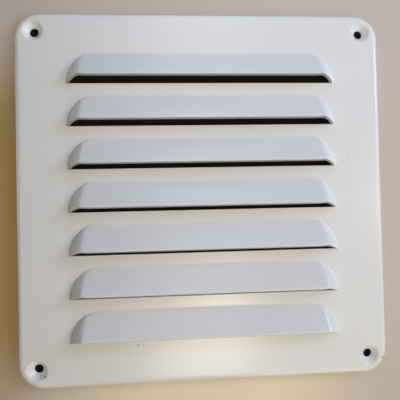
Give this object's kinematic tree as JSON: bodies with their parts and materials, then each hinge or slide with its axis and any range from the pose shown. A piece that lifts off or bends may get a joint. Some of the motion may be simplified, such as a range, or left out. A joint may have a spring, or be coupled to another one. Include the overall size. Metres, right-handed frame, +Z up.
{
  "type": "ventilation grille",
  "caption": "Square wall ventilation grille pressed from white enamelled aluminium sheet, with louvres that open downwards, turned-back edges and a recessed screw hole in each corner.",
  "frame": {"origin": "centre of the pattern of screw holes, in the wall plane behind the middle of the plate", "axes": "+X to the right, +Z up as fixed on the wall with the louvres opening downwards, -Y out of the wall"},
  "size_m": [0.15, 0.0092, 0.15],
  "materials": {
    "enamel": "white satin enamel"
  },
  "bodies": {
    "root": {"grille_plate": "enamel"}
  },
  "joints": []
}
